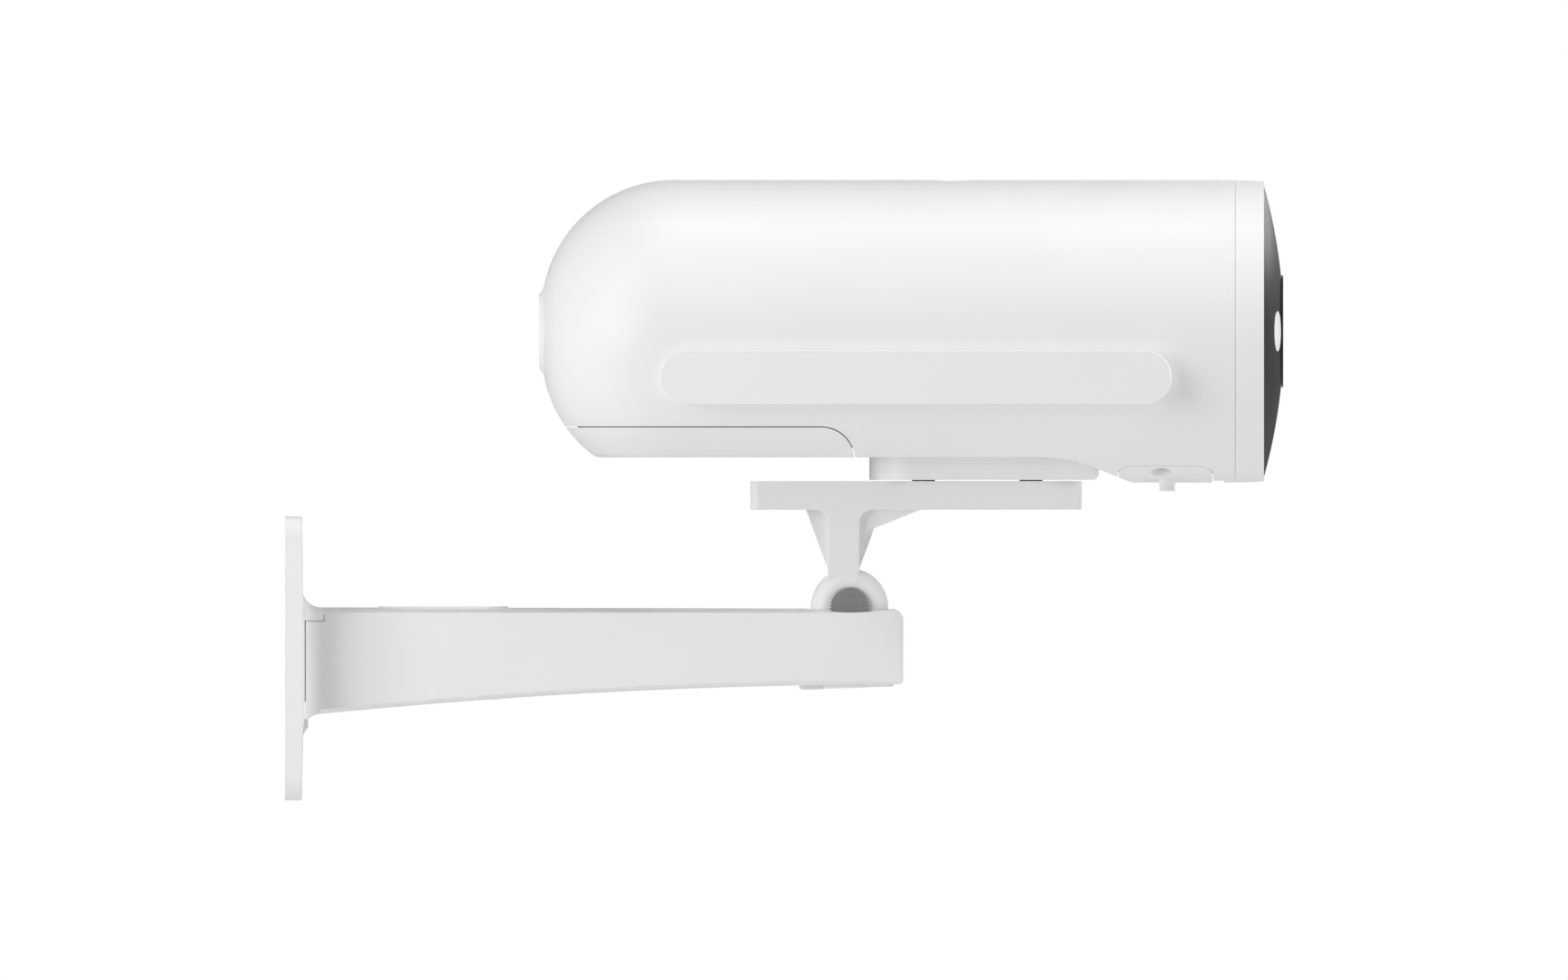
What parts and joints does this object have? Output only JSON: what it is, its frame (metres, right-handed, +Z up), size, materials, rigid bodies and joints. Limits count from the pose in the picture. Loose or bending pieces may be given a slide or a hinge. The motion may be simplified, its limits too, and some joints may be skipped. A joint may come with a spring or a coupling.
{
  "type": "security camera",
  "caption": "Outdoor bullet security camera with a dark domed front window, spotlights and side rails, on a wall arm with a pan turret and a toothed tilt pivot.",
  "frame": {"origin": "centre of the wall plate's back face", "axes": "+X out from the wall along the arm and the lens axis, +Y across, +Z up"},
  "size_m": [0.297, 0.098, 0.1845],
  "materials": {
    "housing_white": "fine satin moulded plastic",
    "bracket_white": "fine satin moulded plastic, glass filled",
    "soft_white": "matt silicone",
    "seal_grey": "matt rubber",
    "hub_grey": "satin acetal",
    "zinc_steel": "zinc plated",
    "window_black": "polished, dark tinted",
    "trim_black": "fine matt",
    "lens_glass": "coated, clear",
    "spotlight_white": "frosted diffuser",
    "chassis_grey": "moulded",
    "circuit_board": "solder mask",
    "chip_dark": "moulded chip",
    "led_yellow": "phosphor",
    "aluminium": "as extruded",
    "cell_wrap": "printed film sleeve over the can",
    "nickel": "nickel plated"
  },
  "bodies": {
    "wall_arm": {"bracket_spine": "bracket_white", "arm_cover": "bracket_white", "wall_gasket": "seal_grey", "arm_cover_screws": "zinc_steel", "lock_cap": "bracket_white"},
    "turret": {"turret": "bracket_white", "turret_washer": "hub_grey", "eyebolt": "zinc_steel", "lock_nut": "zinc_steel", "lock_spring_washer": "zinc_steel"},
    "camera_head": {"main_housing": "housing_white", "front_ring": "housing_white", "camera_foot": "housing_white", "side_rail_left": "housing_white", "side_rail_right": "housing_white", "platform": "bracket_white", "platform_spacers": "soft_white", "ring_seal": "seal_grey", "window_seal": "seal_grey", "ratchet_axle": "hub_grey", "platform_screws": "zinc_steel", "foot_screws": "zinc_steel", "board_screws": "zinc_steel", "processor_shield": "zinc_steel", "front_window": "window_black", "lens_trim_ring": "trim_black", "lens_holder": "trim_black", "lens_barrel": "trim_black", "antenna_left": "trim_black", "antenna_right": "trim_black", "lens_window": "lens_glass", "lens_elements": "lens_glass", "spotlight_lens_left": "spotlight_white", "spotlight_lens_right": "spotlight_white", "chassis": "chassis_grey", "port_panel": "chassis_grey", "battery_case": "chassis_grey", "microphone": "chassis_grey", "card_socket": "chassis_grey", "memory_card": "chassis_grey", "sensor_board": "circuit_board", "led_board": "circuit_board", "main_board": "circuit_board", "button_board": "circuit_board", "port_board": "circuit_board", "image_sensor": "chip_dark", "infrared_leds": "chip_dark", "spotlight_leds": "led_yellow", "heat_spreader": "aluminium", "battery_cells": "cell_wrap", "battery_contacts": "nickel", "usb_port": "nickel"},
    "rear_button": {"rear_button": "housing_white"},
    "battery_cover": {"battery_cover": "housing_white"},
    "port_hatch": {"port_hatch": "housing_white", "hatch_seal": "seal_grey", "hatch_screws": "zinc_steel", "hatch_pull_tab": "soft_white"},
    "reset_button": {"reset_button": "chassis_grey"},
    "ir_filter": {"ir_filter": "trim_black"}
  },
  "joints": [
    {"name": "pan", "type": "hinge", "parent": "wall_arm", "child": "turret", "pos_m": [0.168, 0, 0], "axis": [0, 0, 1], "range_deg": [-90, 90]},
    {"name": "tilt", "type": "hinge", "parent": "turret", "child": "camera_head", "pos_m": [0.168, 0, 0.0153], "axis": [0, 1, 0], "range_deg": [-25, 60]},
    {"name": "rear_button_press", "type": "slide", "parent": "camera_head", "child": "rear_button", "axis": [1, 0, 0], "range_m": [0, 0.0006], "stiffness_N_per_m": 500, "springref_m": -0.002},
    {"name": "battery_cover_slide", "type": "slide", "parent": "camera_head", "child": "battery_cover", "axis": [-1, 0, 0], "range_m": [0, 0.012]},
    {"name": "port_hatch_lift", "type": "slide", "parent": "camera_head", "child": "port_hatch", "axis": [0, 0, -1], "range_m": [0, 0.012]},
    {"name": "reset_button_press", "type": "slide", "parent": "camera_head", "child": "reset_button", "axis": [0, 0, 1], "range_m": [0, 0.0005], "stiffness_N_per_m": 200, "springref_m": -0.001},
    {"name": "ir_filter_slide", "type": "slide", "parent": "camera_head", "child": "ir_filter", "axis": [0, 1, 0], "range_m": [0, 0.008]}
  ]
}
